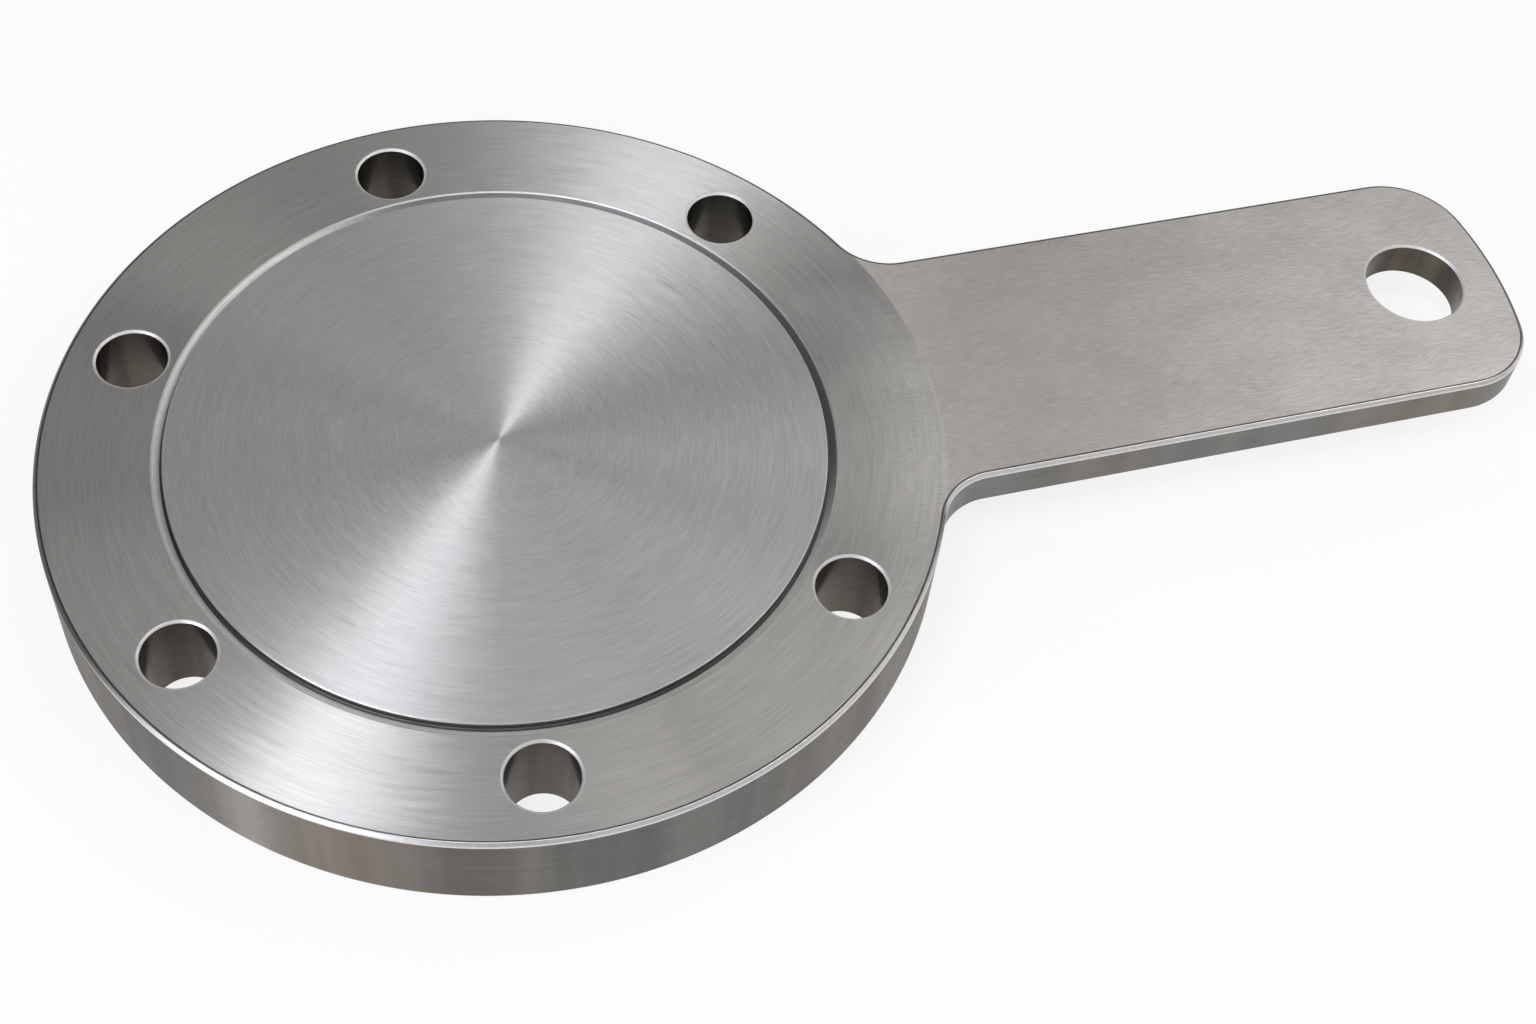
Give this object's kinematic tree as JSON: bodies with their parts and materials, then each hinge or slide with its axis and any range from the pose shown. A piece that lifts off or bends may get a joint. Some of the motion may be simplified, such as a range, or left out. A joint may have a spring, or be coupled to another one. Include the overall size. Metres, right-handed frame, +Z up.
{
  "type": "slip plate",
  "caption": "Solid round steel blanking plate with a raised gasket face, a groove around it, bolt holes and a flat one-piece handle with a hanging hole.",
  "frame": {"origin": "on the plate's axis, at the flat underside that the part rests on", "axes": "+X along the handle, from the plate's axis towards the hanging hole; +Z up the plate's axis, out of the raised gasket face; +Y completes the right-handed set"},
  "size_m": [0.441, 0.254, 0.0288],
  "materials": {
    "machined_steel": "machined stainless steel: turned faces on the plate, fine brushed grain on the handle"
  },
  "bodies": {
    "root": {"slip_plate": "machined_steel"}
  },
  "joints": []
}
